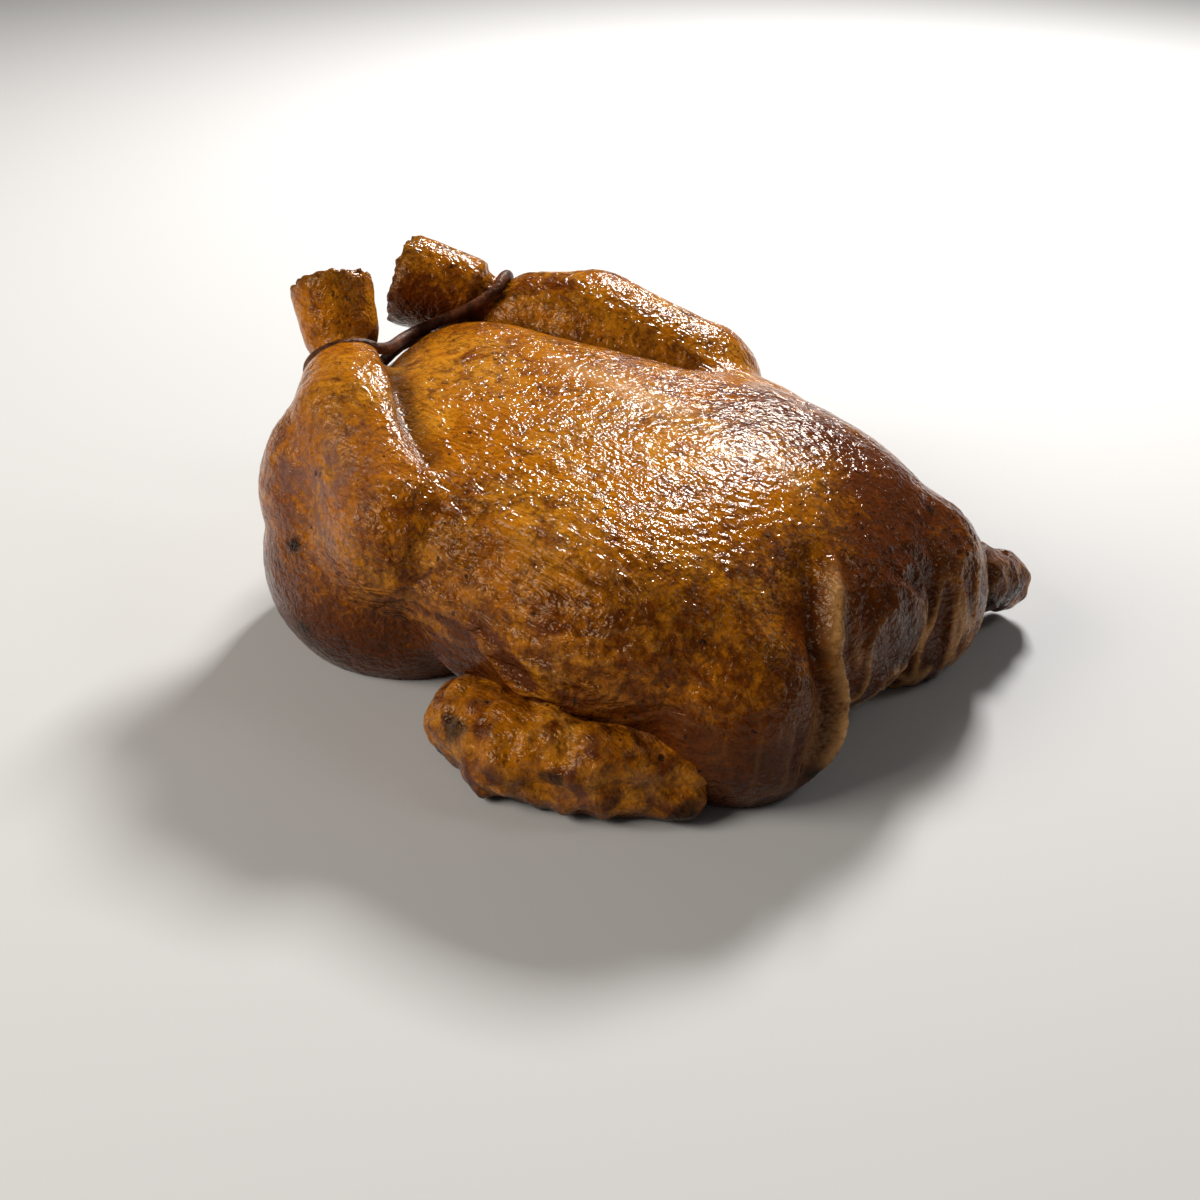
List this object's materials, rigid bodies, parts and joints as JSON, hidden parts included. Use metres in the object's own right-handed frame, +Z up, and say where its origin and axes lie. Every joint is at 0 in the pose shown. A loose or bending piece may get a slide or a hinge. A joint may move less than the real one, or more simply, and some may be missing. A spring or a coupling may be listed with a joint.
{
  "type": "roast chicken",
  "caption": "Whole roast chicken lying on its back, breast up, with chopped leg ends held together by an elastic cooking tie.",
  "frame": {"origin": "centre of the bounding box's underside, on the surface the bird lies on", "axes": "+X from the tail to the neck end, the longest extent; +Y to the bird's right side; +Z up through the breast, the shortest extent"},
  "size_m": [0.2572, 0.2079, 0.1153],
  "materials": {
    "roast_skin": "glossy, oily roast skin",
    "tie_band": "satin, stained by cooking"
  },
  "bodies": {
    "root": {"roast_chicken": "roast_skin", "leg_tie": "tie_band"}
  },
  "joints": []
}
